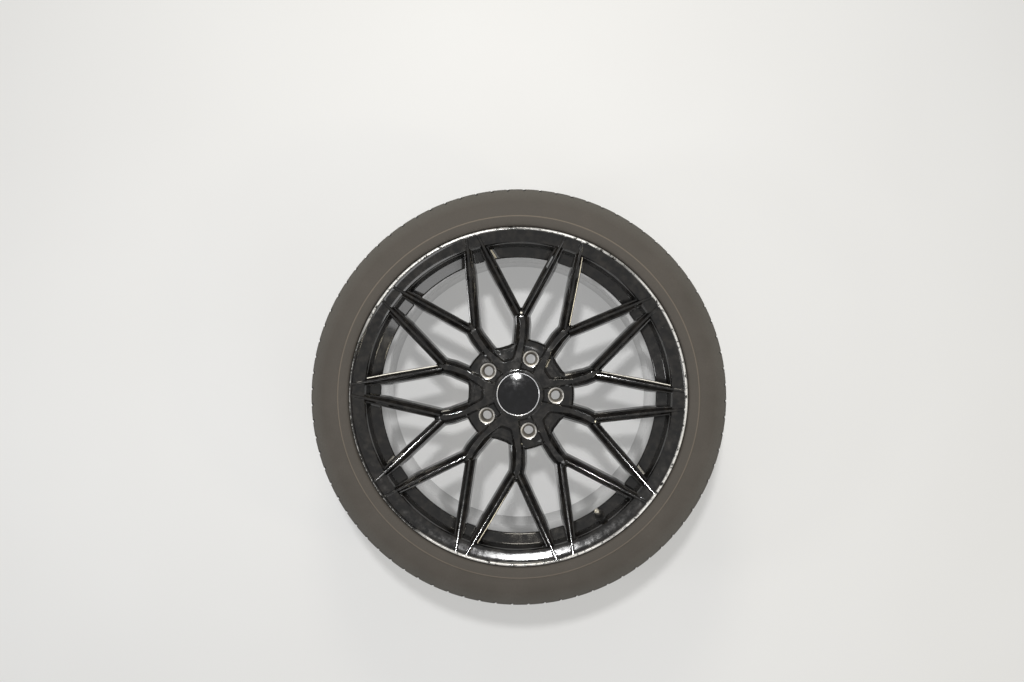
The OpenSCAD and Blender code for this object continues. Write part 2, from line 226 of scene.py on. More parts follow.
def material(name, base, roughness, metallic=0.0, coat=0.0):
    """A principled material with its constant values on the shader's own sockets."""
    made = bpy.data.materials.new(name)
    made.use_nodes = True
    shader = made.node_tree.nodes["Principled BSDF"]
    shader.inputs["Base Color"].default_value = base
    shader.inputs["Roughness"].default_value = roughness
    shader.inputs["Metallic"].default_value = metallic
    shader.inputs["Coat Weight"].default_value = coat
    shader.inputs["Coat Roughness"].default_value = 0.06
    return made, made.node_tree, shader


def join(tree, shader, patterns):
    """Joins patterns to the shader's sockets."""
    for name, source in patterns.items():
        tree.links.new(source, shader.inputs[name])


def grains(tree, size_mm, low=0.0, high=1.0, detail=3.0, roughness=0.5):
    """Irregular grains of this size: 0 in their hollows, below low, to 1 on their heights, above high."""
    place = add(tree, "TexCoord", output="Object")
    noise = {
        "Vector": place,
        "Scale": 1 / (size_mm * MM),
        "Detail": detail,
        "Roughness": roughness,
    }
    height = add(tree, "TexNoise", noise)
    return add(tree, "MapRange", {"Value": height, "From Min": low, "From Max": high})


def polar_place(tree):
    """Radius, height and angle of a point round the wheel's axis, in metres and radians."""
    place = add(tree, "TexCoord", output="Object")
    x, y, height = add(tree, "SeparateXYZ", {"Vector": place}).node.outputs
    flat = add(tree, "CombineXYZ", {"X": x, "Y": y})
    radius = add(tree, "VectorMath", {0: flat}, output="Value", operation="LENGTH")
    angle = add(tree, "Math", {0: y, 1: x}, operation="ARCTAN2")
    return radius, height, angle


def between(tree, value, low, high, soft):
    """1 between low and high, falling to 0 over soft on both sides."""
    rise = add(tree, "MapRange", {"Value": value, "From Min": low - soft, "From Max": low + soft})
    fall = add(tree, "MapRange", {"Value": value, "From Min": high + soft, "From Max": high - soft})
    return add(tree, "Math", {0: rise, 1: fall}, operation="MULTIPLY")


def all_of(tree, *shares):
    """The product of shares and numbers: 1 only where all of them are."""
    product, *others = shares
    for share in others:
        product = add(tree, "Math", {0: product, 1: share}, operation="MULTIPLY")
    return product


def any_of(tree, *shares):
    """The largest of several shares: 1 where any of them is."""
    largest, *others = shares
    for share in others:
        largest = add(tree, "Math", {0: largest, 1: share}, operation="MAXIMUM")
    return largest


def layered(tree, base, *layers):
    """A colour under layers, each a colour and the share of it that shows."""
    tone = base
    for colour_over, share in layers:
        tone = add(tree, "Mix", {"Factor": share, 6: tone, 7: colour_over}, output=2, data_type="RGBA")
    return tone


# Where kerbs took the paint off the lip: from, to and soft edge of each arc, in radians
KERB_ARCS = (
    (-0.95, 0.85, 0.12),
    (1.70, 2.75, 0.10),
    (-1.30, -0.98, 0.08),
    (-2.15, -1.35, 0.05),
    (1.0, 1.5, 0.2),
)


def kerb_rash(tree):
    """1 where the lip is rubbed bare: ragged patches on its face, and a thin speckled line all round."""
    radius, height, angle = polar_place(tree)
    arcs = any_of(tree, *[between(tree, angle, *arc) for arc in KERB_ARCS])
    on_top = add(
        tree,
        "MapRange",
        {"Value": height, "From Min": (LIP_Z - 2.85) * MM, "From Max": (LIP_Z - 1.45) * MM},
    )
    on_face = add(
        tree,
        "MapRange",
        {"Value": radius, "From Min": (FLANGE_R - 5.3) * MM, "From Max": (FLANGE_R - 4.2) * MM},
    )
    ragged = grains(tree, 11.0, 0.42, 0.47, 6.0, 0.75)
    near_top = add(
        tree,
        "MapRange",
        {"Value": height, "From Min": (LIP_Z - 4.45) * MM, "From Max": (LIP_Z - 3.25) * MM},
    )
    near_edge = add(
        tree,
        "MapRange",
        {"Value": radius, "From Min": (FLANGE_R - 2.2) * MM, "From Max": (FLANGE_R - 1.4) * MM},
    )
    speckled = grains(tree, 3.0, 0.46, 0.60, 5.0, 0.7)
    face = all_of(tree, on_top, on_face, arcs, ragged)
    return any_of(tree, face, all_of(tree, near_top, near_edge, speckled))


def chipped_ribs(tree):
    """Chips on the high ribs, a fraction of a millimetre to 2 mm across."""
    _, height, _ = polar_place(tree)
    high_up = add(
        tree,
        "MapRange",
        {"Value": height, "From Min": (LAND_Z - 4) * MM, "From Max": (LAND_Z + 4) * MM},
    )
    return all_of(tree, grains(tree, 2.2, 0.76, 0.78, 3.0, 0.6), high_up, 0.7)


def painted_aluminium(paint, bare):
    """Cast aluminium under gloss black wet paint: deep reflections, an orange-peel skin about 3 mm
    across, chips on the spokes, dust, and a lip rubbed bare by kerbs."""
    made, tree, shader = material("gloss_painted_aluminium", paint, 0.12, coat=1.0)
    rubbed = any_of(tree, kerb_rash(tree), chipped_ribs(tree))
    dust = all_of(tree, grains(tree, 14, 0.42, 0.75, 5.0, 0.7), 0.6)
    edge = add(tree, "Bevel", {"Radius": 0.8 * MM}, samples=4)
    skin = {
        "Height": grains(tree, 3.0, detail=2.0),
        "Distance": 0.06 * MM,
        "Strength": 0.5,
        "Normal": edge,
    }
    dull = any_of(tree, rubbed, dust)
    patterns = {
        "Base Color": layered(tree, paint, (linear("#37332e"), dust), (bare, rubbed)),
        "Metallic": all_of(tree, rubbed, 0.45),
        "Roughness": add(tree, "MapRange", {"Value": dull, "To Min": 0.10, "To Max": 0.36}),
        "Normal": add(tree, "Bump", skin),
    }
    join(tree, shader, patterns)
    return made


def bare_aluminium(name, metal, roughness, metallic=1.0):
    """Cast aluminium machined with a form tool and left bare: turning marks, no paint. They are drawn
    0.6 mm apart, coarser than real ones, so that they show."""
    made, tree, shader = material(name, linear(metal), roughness, metallic=metallic)
    stains = all_of(tree, grains(tree, 2.0, 0.35, 0.7, 4.0, 0.6), 0.5)
    marks = {"Height": grains(tree, 0.6, detail=2.0), "Distance": 0.05 * MM, "Strength": 0.6}
    patterns = {
        "Base Color": layered(tree, linear(metal), (linear("#77736c"), stains)),
        "Normal": add(tree, "Bump", marks),
    }
    join(tree, shader, patterns)
    return made


def tyre_rubber(rubber, dust):
    """Moulded tyre rubber, matt and warm with road dust, paler in a thin ring on the rim guard and towards
    the shoulder.
    """
    made, tree, shader = material("dusty_tyre_rubber", rubber, 0.82)
    radius, _, _ = polar_place(tree)
    side = grains(tree, 45, 0.35, 0.68, 5.0, 0.6)
    fine = grains(tree, 1.6, 0.30, 0.72, 4.0, 0.7)
    shoulder = add(
        tree,
        "MapRange",
        {"Value": radius, "From Min": (TYRE_R - 26.8) * MM, "From Max": (TYRE_R - 8.8) * MM},
    )
    line = between(tree, radius, (FLANGE_R + 15.5) * MM, (FLANGE_R + 17.2) * MM, 0.5 * MM)
    layers = (
        (dust, all_of(tree, side, 0.6)),
        (linear("#64625d"), all_of(tree, shoulder, 0.55)),
        (linear("#3b3730"), all_of(tree, fine, 0.45)),
        (linear("#84796b"), all_of(tree, line, 0.45)),
    )
    texture = {
        "Height": grains(tree, 1.2, detail=4.0, roughness=0.7),
        "Distance": 0.2 * MM,
        "Strength": 0.6,
    }
    patterns = {
        "Base Color": layered(tree, rubber, *layers),
        "Roughness": add(tree, "MapRange", {"Value": side, "To Min": 0.72, "To Max": 0.9}),
        "Normal": add(tree, "Bump", texture),
    }
    join(tree, shader, patterns)
    return made


def moulded_cap_plastic():
    """Gloss black ABS of the cap, polished in the mould, with hairline swirls."""
    black = linear("#111113")
    made, tree, shader = material("gloss_black_abs", black, 0.10, coat=0.5)
    swirl = grains(tree, 9.0, 0.45, 0.8, 5.0, 0.7)
    patterns = {
        "Base Color": layered(tree, black, (linear("#26262a"), all_of(tree, swirl, 0.4))),
        "Roughness": add(tree, "MapRange", {"Value": swirl, "To Min": 0.07, "To Max": 0.22}),
    }
    join(tree, shader, patterns)
    return made


def silver_ring():
    """Silver lacquer on a moulded ring: bright from every side, a little duller in patches."""
    made, tree, shader = material(
        "silver_lacquered_abs", linear("#ececee"), 0.25, metallic=0.45, coat=0.5
    )
    dull = {"Value": grains(tree, 6), "To Min": 0.18, "To Max": 0.34}
    join(tree, shader, {"Roughness": add(tree, "MapRange", dull)})
    return made


def valve_moulding():
    """Black EPDM rubber of the snap-in valve: matt, greying with age."""
    black = linear("#2b2a29")
    made, tree, shader = material("valve_epdm", black, 0.6)
    age = all_of(tree, grains(tree, 4, 0.4, 0.75, 4.0, 0.6), 0.6)
    skin = {"Height": grains(tree, 0.8, detail=2.0), "Distance": 0.05 * MM, "Strength": 0.5}
    patterns = {
        "Base Color": layered(tree, black, (linear("#4c4945"), age)),
        "Normal": add(tree, "Bump", skin),
    }
    join(tree, shader, patterns)
    return made


def plated_brass():
    """Brass under worn nickel: yellow shows where the plate has gone."""
    made, tree, shader = material("nickelled_brass", linear("#a5a19a"), 0.34, metallic=1.0)
    worn = grains(tree, 1.8, 0.45, 0.62, 4.0, 0.6)
    pits = {"Height": grains(tree, 0.5, detail=2.0), "Distance": 0.04 * MM, "Strength": 0.5}
    patterns = {
        "Base Color": layered(tree, linear("#aeaba4"), (linear("#a0977f"), worn)),
        "Normal": add(tree, "Bump", pits),
    }
    join(tree, shader, patterns)
    return made


def spring_steel():
    """Drawn spring wire: plain grey steel with a faint drawn grain."""
    made, tree, shader = material("spring_wire", linear("#9a9a98"), 0.35, metallic=1.0)
    drawn = {"Value": grains(tree, 1.0), "To Min": 0.28, "To Max": 0.45}
    join(tree, shader, {"Roughness": add(tree, "MapRange", drawn)})
    return made


def painted_floor(pale):
    """Smooth painted concrete, a little uneven. What the camera, gloss and glass see of it is partly its
    own plain colour, so that it looks as pale as it is painted and keeps the object's shadow."""
    made, tree, shader = material("painted_floor", pale, 0.6)
    uneven = all_of(tree, grains(tree, 600, 0.3, 0.7), 0.25)
    tone = layered(tree, pale, (linear("#e0dfdd"), uneven))
    join(tree, shader, {"Base Color": tone})
    ray = add(tree, "LightPath").node.outputs
    seen = any_of(tree, ray["Is Camera Ray"], ray["Is Glossy Ray"], ray["Is Transmission Ray"])
    plain = add(tree, "Emission", {"Color": tone})
    plain_share = 0.38
    shown = {0: all_of(tree, seen, plain_share), 1: shader.outputs[0], 2: plain}
    join(tree, tree.nodes["Material Output"], {"Surface": add(tree, "MixShader", shown)})
    return made


# Modelling helpers


def polar(radius, degrees):
    """A flat point from its distance and angle round the axis."""
    angle = math.radians(degrees)
    return Vector((radius * math.cos(angle), radius * math.sin(angle)))


def turned(degrees):
    """A turn round the wheel's axis."""
    return Matrix.Rotation(math.radians(degrees), 4, "Z")


def select_only(piece):
    """Selects one piece and makes it the active one."""
    bpy.ops.object.select_all(action="DESELECT")
    piece.select_set(True)
    bpy.context.view_layer.objects.active = piece


def outline(name, points, fill="NOTHING"):
    """A ring of points, from a circle whose corners are moved to their places."""
    bpy.ops.object.select_all(action="DESELECT")
    bpy.ops.mesh.primitive_circle_add(vertices=len(points), fill_type=fill)
    piece = bpy.context.object
    piece.name = piece.data.name = name
    for corner, point in zip(piece.data.vertices, points):
        corner.co = point
    return piece


def outward():
    """In edit mode: merges doubles and turns every face outwards."""
    bpy.ops.mesh.select_all(action="SELECT")
    bpy.ops.mesh.remove_doubles(threshold=0.001)
    bpy.ops.mesh.normals_make_consistent(inside=False)


def lathe(name, profile, steps):
    """Spins a closed profile of (radius, height) round the axis."""
    piece = outline(name, [(r, 0, z) for r, z in profile])
    bpy.ops.object.mode_set(mode="EDIT")
    bpy.ops.mesh.select_all(action="SELECT")
    bpy.ops.mesh.spin(steps=steps, angle=FULL_TURN, center=(0, 0, 0), axis=(0, 0, 1))
    outward()
    if min(r for r, _ in profile) < 0.01:
        bpy.ops.mesh.dissolve_degenerate(threshold=0.0005)
        bpy.ops.mesh.delete_loose()
    bpy.ops.object.mode_set(mode="OBJECT")
    return piece


def loft(name, sections):
    """A closed body through sections that have the same number of points: one face, extruded on."""
    piece = outline(name, sections[0], fill="NGON")
    bpy.ops.object.mode_set(mode="EDIT")
    bpy.ops.mesh.select_all(action="SELECT")
    for before, after in zip(sections, sections[1:]):
        bpy.ops.mesh.extrude_region_move()
        mesh = bmesh.from_edit_mesh(piece.data)
        for corner in [v for v in mesh.verts if v.select]:
            gaps = [(Vector(point) - corner.co).length_squared for point in before]
            corner.co = after[gaps.index(min(gaps))]
        bmesh.update_edit_mesh(piece.data)
    outward()
    bpy.ops.object.mode_set(mode="OBJECT")
    return piece


def plate(name, levels):
    """A body through flat outlines, each at its own height."""
    return loft(name, [[(x, y, z) for x, y in points] for points, z in levels])


def use_modifier(piece, kind, **settings):
    """Adds a modifier and applies it."""
    select_only(piece)
    bpy.ops.object.modifier_add(type=kind)
    made = piece.modifiers[-1]
    for key, value in settings.items():
        setattr(made, key, value)
    bpy.ops.object.modifier_apply(modifier=made.name)


def combine(piece, tool, operation="UNION"):
    """Joins, cuts or trims the piece by the tool, which is used up."""
    use_modifier(piece, "BOOLEAN", object=tool, operation=operation, solver="MANIFOLD")
    bpy.data.objects.remove(tool)
    return piece


def copied(piece, matrix):
    """A copy with its own mesh, moved by the matrix; a mirrored one is turned right side out."""
    twin = piece.copy()
    twin.data = piece.data.copy()
    bpy.context.scene.collection.objects.link(twin)
    twin.data.transform(matrix)
    if matrix.determinant() < 0:
        twin.data.flip_normals()
    return twin


def dress(piece, *materials):
    """Gives a piece its materials, the first on every face."""
    piece.data.materials.clear()
    for made in materials:
        piece.data.materials.append(made)


def finished(piece, body, slot, *nodes, angle=32):
    """Millimetres to metres, smooth shading up to an angle, and the piece's place in the table."""
    piece.scale = (MM, MM, MM)
    select_only(piece)
    bpy.ops.object.transform_apply(location=True, rotation=True, scale=True)
    bpy.ops.object.shade_smooth_by_angle(angle=math.radians(angle))
    use_modifier(piece, "WEIGHTED_NORMAL", keep_sharp=True, weight=80)
    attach(piece, body)
    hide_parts(*nodes)
    return piece


def rounded(points, radii):
    """A flat outline with each corner replaced by three points of a curve."""
    out = []
    count = len(points)
    for i, (point, radius) in enumerate(zip(points, radii)):
        here = Vector(point)
        back = Vector(points[i - 1]) - here
        ahead = Vector(points[(i + 1) % count]) - here
        reach = min(radius, 0.4 * back.length, 0.4 * ahead.length)
        first = here + back.normalized() * reach
        last = here + ahead.normalized() * reach
        out += [first, 0.25 * first + 0.5 * here + 0.25 * last, last]
    return out


def mirrored(half):
    """An outline symmetric about X, from the half above it."""
    return [(x, -y) for x, y in half] + [(x, y) for x, y in reversed(half)]


def inset(points, amount):
    """The outline moved inwards by amount, for a counter-clockwise outline."""
    out = []
    count = len(points)
    for i, point in enumerate(points):
        here = Vector(point)
        back = (here - Vector(points[i - 1])).normalized()
        ahead = (Vector(points[(i + 1) % count]) - here).normalized()
        normal = Vector((-back.y, back.x)) + Vector((-ahead.y, ahead.x))
        size = max(normal.length, 0.6)
        out.append(here + normal / size * amount * 2 / size)
    return out


# The spokes


def rib_z(radius):
    """Top of the ribs: it climbs in a hollow curve from the hub to the lip."""
    s = max(radius - HUB_R, 0)
    return LAND_Z + DISH_SLOPE * s + DISH_BOW * (s / DISH_LEN) ** 2


def ledge_z(radius):
    """Top of the ledge beside the rib, nearer to the rib's top at the lip."""
    return rib_z(radius) - RIB_H + 2.5 * (radius - HUB_R) / DISH_LEN


def back_z(radius):
    """The spokes' back, which rises straight to the rim."""
    return 6 + 0.19 * (radius - HUB_R)


def spoke_section(place, normal, left, right, drop, edge_round):
    """Section of a spoke: rib top, ledge foot, ledge edge, widest line and back, on both sides."""
    radius = place.length
    top = rib_z(radius) - drop
    ledge = min(ledge_z(radius), top - 0.6)
    widest = ledge_z(radius) - PETAL_WALL_H
    heights = (top, ledge, ledge - LEDGE_EDGE_H, widest, back_z(radius))
    flat = [(w, h) for w, h in zip(left, heights)]
    flat += [(-w, h) for w, h in reversed(list(zip(right, heights)))]
    rounds = [edge_round, 1.6 * edge_round, 1.4 * edge_round, 1.5, 1.5]
    section = rounded(flat, rounds + rounds[::-1])
    return [(place.x + p.x * normal.x, place.y + p.x * normal.y, p.y) for p in section]


# An arm's section, on the side of the petal gap and inside the Y: how far the rib's top, ledge foot,
# ledge edge, widest line and back stand out beyond the rib's top, and how much of that goes at the lip
PETAL_SIDE = ((0, 0), (5.4, 3), (7.4, 4), (9.8, 5), (7, 3))
INNER_SIDE = ((0, 0), (3.5, 1.3), (5.8, 1.6), (6.8, 1.6), (5, 1.4))

# An arm thins from this radius on, over this length
THIN_FROM_R = 205
THIN_LEN = 50


def arm(name, root, end, side, sizes):
    """One arm of a Y, straight from the stem to the lip, thinner as it meets the rim."""
    way = (end - root).normalized()
    normal = Vector((-way.y, way.x)) * side
    half_top = in_millimetres(sizes.rib_top) / 2
    sections = []
    for step in range(sizes.arm_steps + 1):
        place = root.lerp(end, step / sizes.arm_steps)
        thin = min(max((place.length - THIN_FROM_R) / THIN_LEN, 0), 1)
        petal = [half_top + wide - less * thin for wide, less in PETAL_SIDE]
        inner = [half_top + wide - less * thin for wide, less in INNER_SIDE]
        sections.append(
            spoke_section(place, normal, petal, inner, 0, in_millimetres(sizes.edge_round))
        )
    return loft(name, sections)


# The stem of a Y: radius, then in degrees from the pair's axis its near edge, both edges of its flat top
# and its far edge, and last how far the top drops as the crotch opens
STEM_MID = 17.5
STEM_STATIONS = (
    (HUB_R - 9, 9.2, 13.2, 18, 25.2, 0),
    (HUB_R, 9.4, 13.2, 17.7, 23.9, 0),
    (HUB_R + 21, 10.4, 13.9, 18, 22.1, 0),
    (SPLIT_R - 5, 11.8, 15.0, 19.1, 22, 0),
    (SPLIT_R - 1, 12.1, 16.2, 18.7, 21.9, 1.2),
    (SPLIT_R + 4, 13.6, 16.5, 18.4, 21, 4),
    (SPLIT_R + 8, 15.2, 16.8, 18.2, 19.8, 7.5),
    (SPLIT_R + 11, 16.2, 17, 18, 18.8, 12),
)


def stem_rows():
    """The stem's stations, with others between them about every 4 mm."""
    rows = [STEM_STATIONS[0]]
    for low, high in zip(STEM_STATIONS, STEM_STATIONS[1:]):
        parts = max(1, round((high[0] - low[0]) / 4))
        rows += [[a + (b - a) * k / parts for a, b in zip(low, high)] for k in range(1, parts + 1)]
    return rows


def stem_side(radius, top_angle, edge_angle):
    """One side of the stem's section, from the angles of its flat top and edge off the middle."""
    top = radius * math.sin(math.radians(top_angle))
    edge = radius * math.sin(math.radians(edge_angle))
    bulge = 3.6 if radius < SPLIT_R else 0.4
    return (top, max(top + 0.2, edge - 2.4), max(top + 0.4, edge), edge + bulge, edge)


def stem(name, sizes):
    """The stem of a Y, from inside the hub to the crotch."""
    normal = polar(1, STEM_MID - 90)
    edge_round = in_millimetres(sizes.edge_round)
    sections = []
    for radius, near_edge, near_top, far_top, far_edge, drop in stem_rows():
        near = stem_side(radius, STEM_MID - near_top, STEM_MID - near_edge)
        far = stem_side(radius, far_top - STEM_MID, far_edge - STEM_MID)
        place = polar(radius, STEM_MID)
        sections.append(spoke_section(place, normal, near, far, drop, edge_round))
    return loft(name, sections)


# Where an arm's middle line starts at the stem and ends at the lip, in degrees from the pair's axis
WIDE_ARM = (15.9, 2.94)
NARROW_ARM = (PITCH / 2 - 16.75, PITCH / 2 - 1.85)


def spokes(sizes):
    """Half of a Y pair is modelled once, then mirrored and turned to all ten places."""
    half = stem("spokes", sizes)
    for name, (start, end), side in (("wide_arm", WIDE_ARM, -1), ("narrow_arm", NARROW_ARM, 1)):
        combine(half, arm(name, polar(SPLIT_R, start), polar(ARM_END_R, end), side, sizes))
    combine(half, spoke_room(sizes), "INTERSECT")
    pair = combine(copied(half, Matrix.Identity(4)), copied(half, Matrix.Scale(-1, 4, (0, 1, 0))))
    bpy.data.objects.remove(half)
    whole = copied(pair, Matrix.Identity(4))
    for k in range(1, PAIRS):
        combine(whole, copied(pair, turned(k * PITCH)))
    bpy.data.objects.remove(pair)
    return whole


def spoke_room(sizes):
    """The room inside the rim that trims the arms' outer ends."""
    inner_r = 20
    wall_r = BEAD_R - 3
    lip_r = FLANGE_R - 1.4
    step_z = LIP_Z - FLANGE_T + 1.6
    top_z = LIP_Z + 4
    profile = [
        (inner_r, -1),
        (wall_r, -1),
        (wall_r, step_z),
        (FLANGE_R - 6, step_z),
        (lip_r, LIP_Z - 6),
        (lip_r, top_z),
        (inner_r, top_z),
    ]
    return lathe("spoke_room", profile, sizes.turn_steps)


# The hub


def hub_disc(sizes):
    """The hub's disc: a drafted side with a long rounding up to the shelf between the spokes."""
    side = [(75, 0), (77, 2), (HUB_R - 2, 7), (HUB_R + 1.4, ledge_z(HUB_R) - PETAL_WALL_H)]
    # how far in from the hub's edge and below the shelf each point of the rounding lies
    rounding = ((0.4, 6.5), (1.6, 4.6), (3.6, 2.9), (6.4, 1.5), (10, 0.3), (13, 0))
    top = [(HUB_R - inward, SHELF_Z - below) for inward, below in rounding]
    return lathe("hub", [(10, 0), *side, *top, (10, SHELF_Z)], sizes.turn_steps)


def cap_land(sizes):
    """The ring that stands round the cap."""
    low = SHELF_Z - 3
    high = LAND_Z + 0.8
    side = [
        (SEAT_R + 7.4, low),
        (SEAT_R + 7.2, SHELF_Z + 0.4),
        (SEAT_R + 5.4, LAND_Z - 2),
        (SEAT_R + 4.4, LAND_Z + 0.5),
        (SEAT_R + 3.6, high),
    ]
    return lathe("cap_ring_land", [(10, low), *side, (10, high)], sizes.turn_steps)


def bolt_land():
    """The raised U-shaped land between two bolt holes, whose sides slope down to the shelf."""
    upper = mirrored([(36, 12.6), (81.3, 34.2), (84.9, 28.3), (60.9, 13.2), (56, 9.8), (54.3, 6.6)])
    lower = mirrored([(34.5, 15.4), (79.6, 37.2), (87, 23.3), (65, 11.2), (60.9, 8.8), (59.4, 6)])
    middle = [tuple(Vector(a) * 0.88 + Vector(b) * 0.12) for a, b in zip(upper, lower)]
    levels = [
        (lower, SHELF_Z - 1),
        (middle, LAND_Z - 0.8),
        (inset(upper, 0.25), LAND_Z - 0.25),
        (inset(upper, 0.7), LAND_Z),
    ]
    return plate("land", levels)


def petal_end():
    """The inner end of the gap between two pairs, with the shelf that runs round it."""
    edge = mirrored([(74.3, 9), (76, 13.6), (79, 18), (84, 24), (110, 40)])
    waist = mirrored([(79.5, 8), (80.5, 12.4), (82.5, 18), (86, 24), (110, 40)])
    shelf = mirrored([(68.9, 9.4), (71, 13.8), (75, 18.6), (81, 25), (110, 42)])
    levels = [
        (edge, -1),
        (waist, ledge_z(HUB_R) - PETAL_WALL_H),
        (edge, SHELF_Z - 2.6),
        (inset(shelf, 0.6), SHELF_Z - 2.58),
        (shelf, SHELF_Z - 1.8),
        (shelf, SHELF_Z + 2),
    ]
    return plate("petal_end", levels)


def hub(sizes):
    """Hub disc, the ring round the cap and the raised lands, cut by the petals' inner ends."""
    body = hub_disc(sizes)
    combine(body, cap_land(sizes))
    for tool, operation in ((bolt_land(), "UNION"), (petal_end(), "DIFFERENCE")):
        for k in range(PAIRS):
            combine(body, copied(tool, turned((k + 0.5) * PITCH)), operation)
        bpy.data.objects.remove(tool)
    return body


# The rim


def rim(sizes):
    """The rim's section, from the lip down its outside to the rear and back up its inside."""
    shift = WALL / math.cos(math.radians(WALL_LEAN))
    lip = [
        (FLANGE_R - 2.2, LIP_Z),
        (FLANGE_R - 1.2, LIP_Z - 0.2),
        (FLANGE_R - 0.3, LIP_Z - 1.1),
        (FLANGE_R, LIP_Z - 2.4),
        (FLANGE_R, LIP_Z - 6.5),
        (FLANGE_R - 1, LIP_Z - 8.6),
        (FLANGE_R - 3, LIP_Z - 10.6),
        (FLANGE_R - 8, LIP_Z - FLANGE_T),
    ]
    seat_and_hump = [
        (BEAD_R, LIP_Z - FLANGE_T),
        (BEAD_R - 1.6, LIP_Z - FLANGE_T - 20),
        (BEAD_R - 0.4, LIP_Z - 35),
        (BEAD_R - 0.4, LIP_Z - 37),
    ]
    drop_well = [
        (BEAD_R - 2.4, WELL_TOP_Z - 4),
        (WELL_R, WELL_FLOOR_Z - shift + 1.6),
        (WELL_R, WELL_FLOOR_Z - shift - 56),
        (BEAD_R - 7, REAR_Z + 84),
        (BEAD_R - 4, REAR_Z + 40),
    ]
    rear_seat = [
        (BEAD_R - 0.4, REAR_Z + 37),
        (BEAD_R - 0.4, REAR_Z + 35),
        (BEAD_R - 1.6, REAR_Z + FLANGE_T + 20),
        (BEAD_R, REAR_Z + FLANGE_T),
    ]
    rear_flange = [
        (FLANGE_R - 8, REAR_Z + FLANGE_T),
        (FLANGE_R - 3, REAR_Z + 10.4),
        (FLANGE_R, REAR_Z + 6.5),
        (FLANGE_R, REAR_Z + 2.4),
        (FLANGE_R - 2.2, REAR_Z),
        (FLANGE_R - 8, REAR_Z),
    ]
    barrel = [
        (BEAD_R - 13, REAR_Z + 12),
        (BEAD_R - 14, REAR_Z + 90),
        (BARREL_R, WELL_FLOOR_Z - 56),
        (BARREL_R, WELL_FLOOR_Z - 2),
        (BARREL_R + 0.6, WELL_FLOOR_Z - 0.6),
        (BARREL_R + 2, WELL_FLOOR_Z + 0.8),
    ]
    front_wall = [
        (WELL_WALL_R - 1.6, WELL_TOP_Z - 1),
        (WELL_WALL_R - 0.4, WELL_TOP_Z + 0.2),
        (WELL_WALL_R, WELL_TOP_Z + 1.6),
        (WELL_WALL_R + 1, LIP_Z - 15),
        (WELL_WALL_R + 1.5, LIP_Z - 13),
        (BEAD_R - 4, LIP_Z - 10),
        (BEAD_R + 0.5, LIP_Z - 7.4),
    ]
    lip_face = [
        (FLANGE_R - 10, LIP_Z - 5.6),
        (FLANGE_R - 5.2, LIP_Z - 3.4),
        (FLANGE_R - 4.2, LIP_Z - 2.4),
        (FLANGE_R - 3.7, LIP_Z - 0.5),
        (FLANGE_R - 3.1, LIP_Z),
    ]
    outside = lip + seat_and_hump + drop_well + rear_seat + rear_flange
    return lathe("wheel_casting", outside + barrel + front_wall + lip_face, sizes.turn_steps)


# The holes


def centre_bores():
    """Centring bore, the relief behind it, the cap's neck and its seat."""
    profile = [
        (0, -1),
        (BORE_R + 3, -1),
        (BORE_R, 2),
        (BORE_R, RELIEF_Z),
        (RELIEF_R, RELIEF_Z),
        (RELIEF_R, NECK_Z),
        (NECK_R, NECK_Z),
        (NECK_R, SHELF_Z),
        (SEAT_R, SHELF_Z),
        (SEAT_R, 90),
        (0, 90),
    ]
    return lathe("bores", profile, 128)


def bolt_seat():
    """Socket room, bare ring, cone and bore of a bolt hole."""
    ring_z = SHELF_Z - 1.2
    cone_z = ring_z - 1
    cone_h = (CONE_R - HOLE_R) / math.tan(math.radians(30))
    room_z = LAND_Z + 20
    profile = [
        (0, -1),
        (HOLE_R, -1),
        (HOLE_R, cone_z - cone_h),
        (CONE_R, cone_z),
        (RING_R, ring_z),
        (SOCKET_R, ring_z),
        (SOCKET_R, room_z),
        (0, room_z),
    ]
    return lathe("bolt_seat", profile, 64)


def rear_pocket():
    """A pocket that saves weight in the mounting face, between two bolt holes."""
    return lathe("relief", [(0, -1), (11, -1), (11, 11.4), (10.4, 12), (0, 12)], 48)


def valve_hole():
    """The valve's hole, with room on both sides of the wall that the valve grips."""
    profile = [(0, -20), (10, -20), (10, -5), (5.65, -5), (5.65, -1), (10, -1), (10, 13), (0, 13)]
    return lathe("valve_hole", profile, 48)


def hole_cutters():
    """Everything that is bored out of the casting, one body each."""
    cutters = [centre_bores()]
    for tool, ring_r, shift in ((bolt_seat(), BOLT_CIRCLE_R, 0), (rear_pocket(), 59, 0.5)):
        place = Matrix.Translation((ring_r, 0, 0))
        cutters += [copied(tool, turned((k + shift) * PITCH) @ place) for k in range(PAIRS)]
        bpy.data.objects.remove(tool)
    valve = valve_hole()
    valve.data.transform(VALVE_AXIS)
    return cutters + [valve]


def bare_seats(body, ring, cone):
    """Gives the bolt seats their bare metal: the machined ring, and the cone and bore inside it, painted
    darker for the shade in the hole.
    """
    slack = 0.1
    for k in range(PAIRS):
        hole = polar(BOLT_CIRCLE_R, k * PITCH)
        reach = [(Vector(corner.co[:2]) - hole).length for corner in body.data.vertices]
        for face in body.data.polygons:
            if (Vector(face.center[:2]) - hole).length < RING_R:
                near = min(reach[i] for i in face.vertices)
                far = max(reach[i] for i in face.vertices)
                if far < CONE_R + slack:
                    face.material_index = cone
                elif far < RING_R + slack and near > CONE_R - slack:
                    face.material_index = ring


